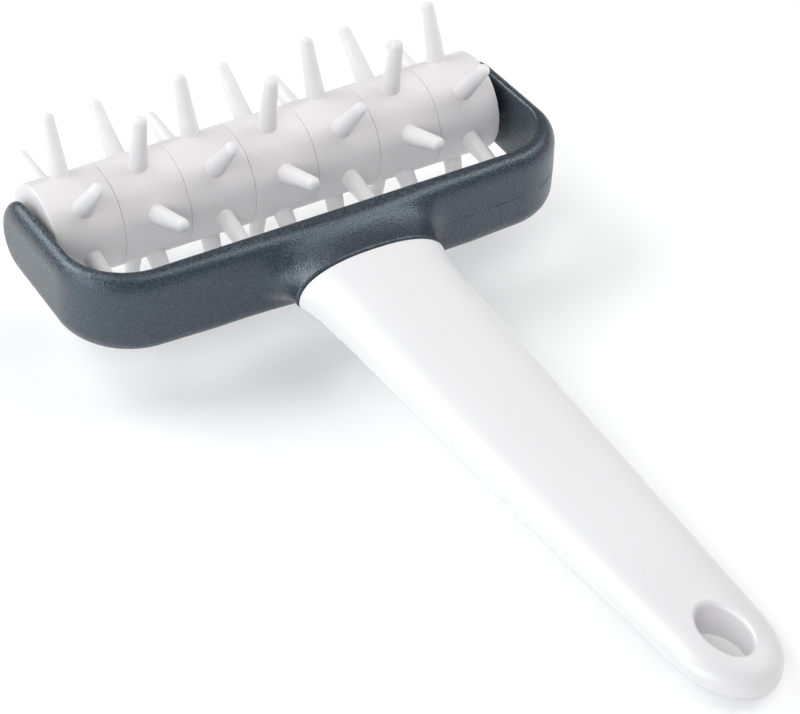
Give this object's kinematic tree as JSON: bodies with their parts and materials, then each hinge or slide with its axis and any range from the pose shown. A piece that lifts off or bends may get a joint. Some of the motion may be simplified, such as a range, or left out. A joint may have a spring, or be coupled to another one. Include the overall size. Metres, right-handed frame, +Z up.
{
  "type": "dough docker",
  "caption": "Hand dough docker: a spiked roller of keyed rings turning in a U-shaped yoke, with a flat tapered handle and a hanging hole.",
  "frame": {"origin": "middle of the footprint on the table, with the tool resting on two rows of spikes and the tip of the handle", "axes": "+X along the roller, +Y from the tip of the handle towards the roller, +Z up"},
  "size_m": [0.1148, 0.1976, 0.0466],
  "materials": {
    "yoke": "fine spark-eroded grain",
    "handle": "satin white",
    "roller": "satin off-white",
    "axle": "as moulded"
  },
  "bodies": {
    "frame": {"yoke": "yoke", "handle": "handle"},
    "roller": {"axle": "axle", "ring_1": "roller", "ring_2": "roller", "ring_3": "roller", "ring_4": "roller", "ring_5": "roller", "ring_6": "roller", "ring_7": "roller"}
  },
  "joints": [
    {"name": "roller_spin", "type": "hinge", "parent": "frame", "child": "roller", "pos_m": [0, 0.07546, 0.02333], "axis": [1, 0, 0], "continuous": true}
  ]
}
